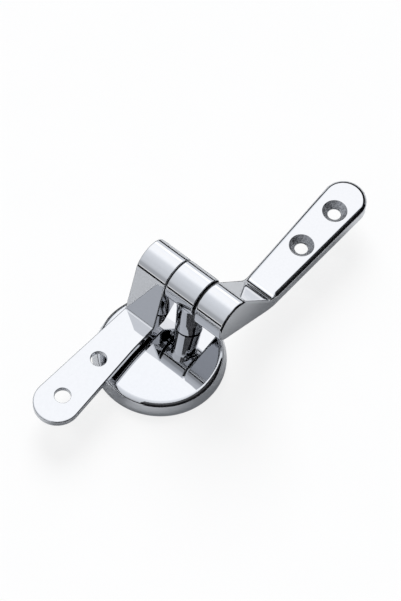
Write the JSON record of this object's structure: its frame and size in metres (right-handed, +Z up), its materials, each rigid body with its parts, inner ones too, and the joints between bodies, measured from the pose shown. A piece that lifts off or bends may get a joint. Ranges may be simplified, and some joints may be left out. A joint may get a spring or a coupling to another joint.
{
  "type": "toilet seat hinge",
  "caption": "Chromed toilet seat hinge: an off-centre post on a round base carries a barrel on which a forward seat leaf and a rearward lid leaf swing, each with countersunk screw holes.",
  "frame": {"origin": "middle of the base's underside, at the mouth of the fixing stud's threaded hole", "axes": "+Z up from the pan, +X along the barrel towards the lid leaf, -Y towards the front of the pan"},
  "size_m": [0.0548, 0.1666, 0.0455],
  "materials": {
    "chrome": "polished chrome plate on cast zinc",
    "steel": "bright zinc-plated steel",
    "nylon": "moulded nylon",
    "pad": "soft moulded pad"
  },
  "bodies": {
    "base": {"base_disc": "chrome", "base_pad": "pad"},
    "post": {"knuckle_post": "chrome", "post_washer": "steel", "post_screw": "steel", "hinge_pin": "steel"},
    "seat": {"seat_leaf": "chrome", "seat_bush": "nylon"},
    "lid": {"lid_leaf": "chrome", "lid_bush": "nylon"}
  },
  "joints": [
    {"name": "post_turn", "type": "hinge", "parent": "base", "child": "post", "pos_m": [0.00188, 0.01629, 0.0074], "axis": [0, 0, 1], "range_deg": [-180, 180]},
    {"name": "seat_swing", "type": "hinge", "parent": "post", "child": "seat", "pos_m": [0.00188, 0.01629, 0.0368], "axis": [-1, 0, 0], "range_deg": [-4, 110]},
    {"name": "lid_swing", "type": "hinge", "parent": "post", "child": "lid", "pos_m": [0.00188, 0.01629, 0.0368], "axis": [1, 0, 0], "range_deg": [-7, 180]}
  ]
}
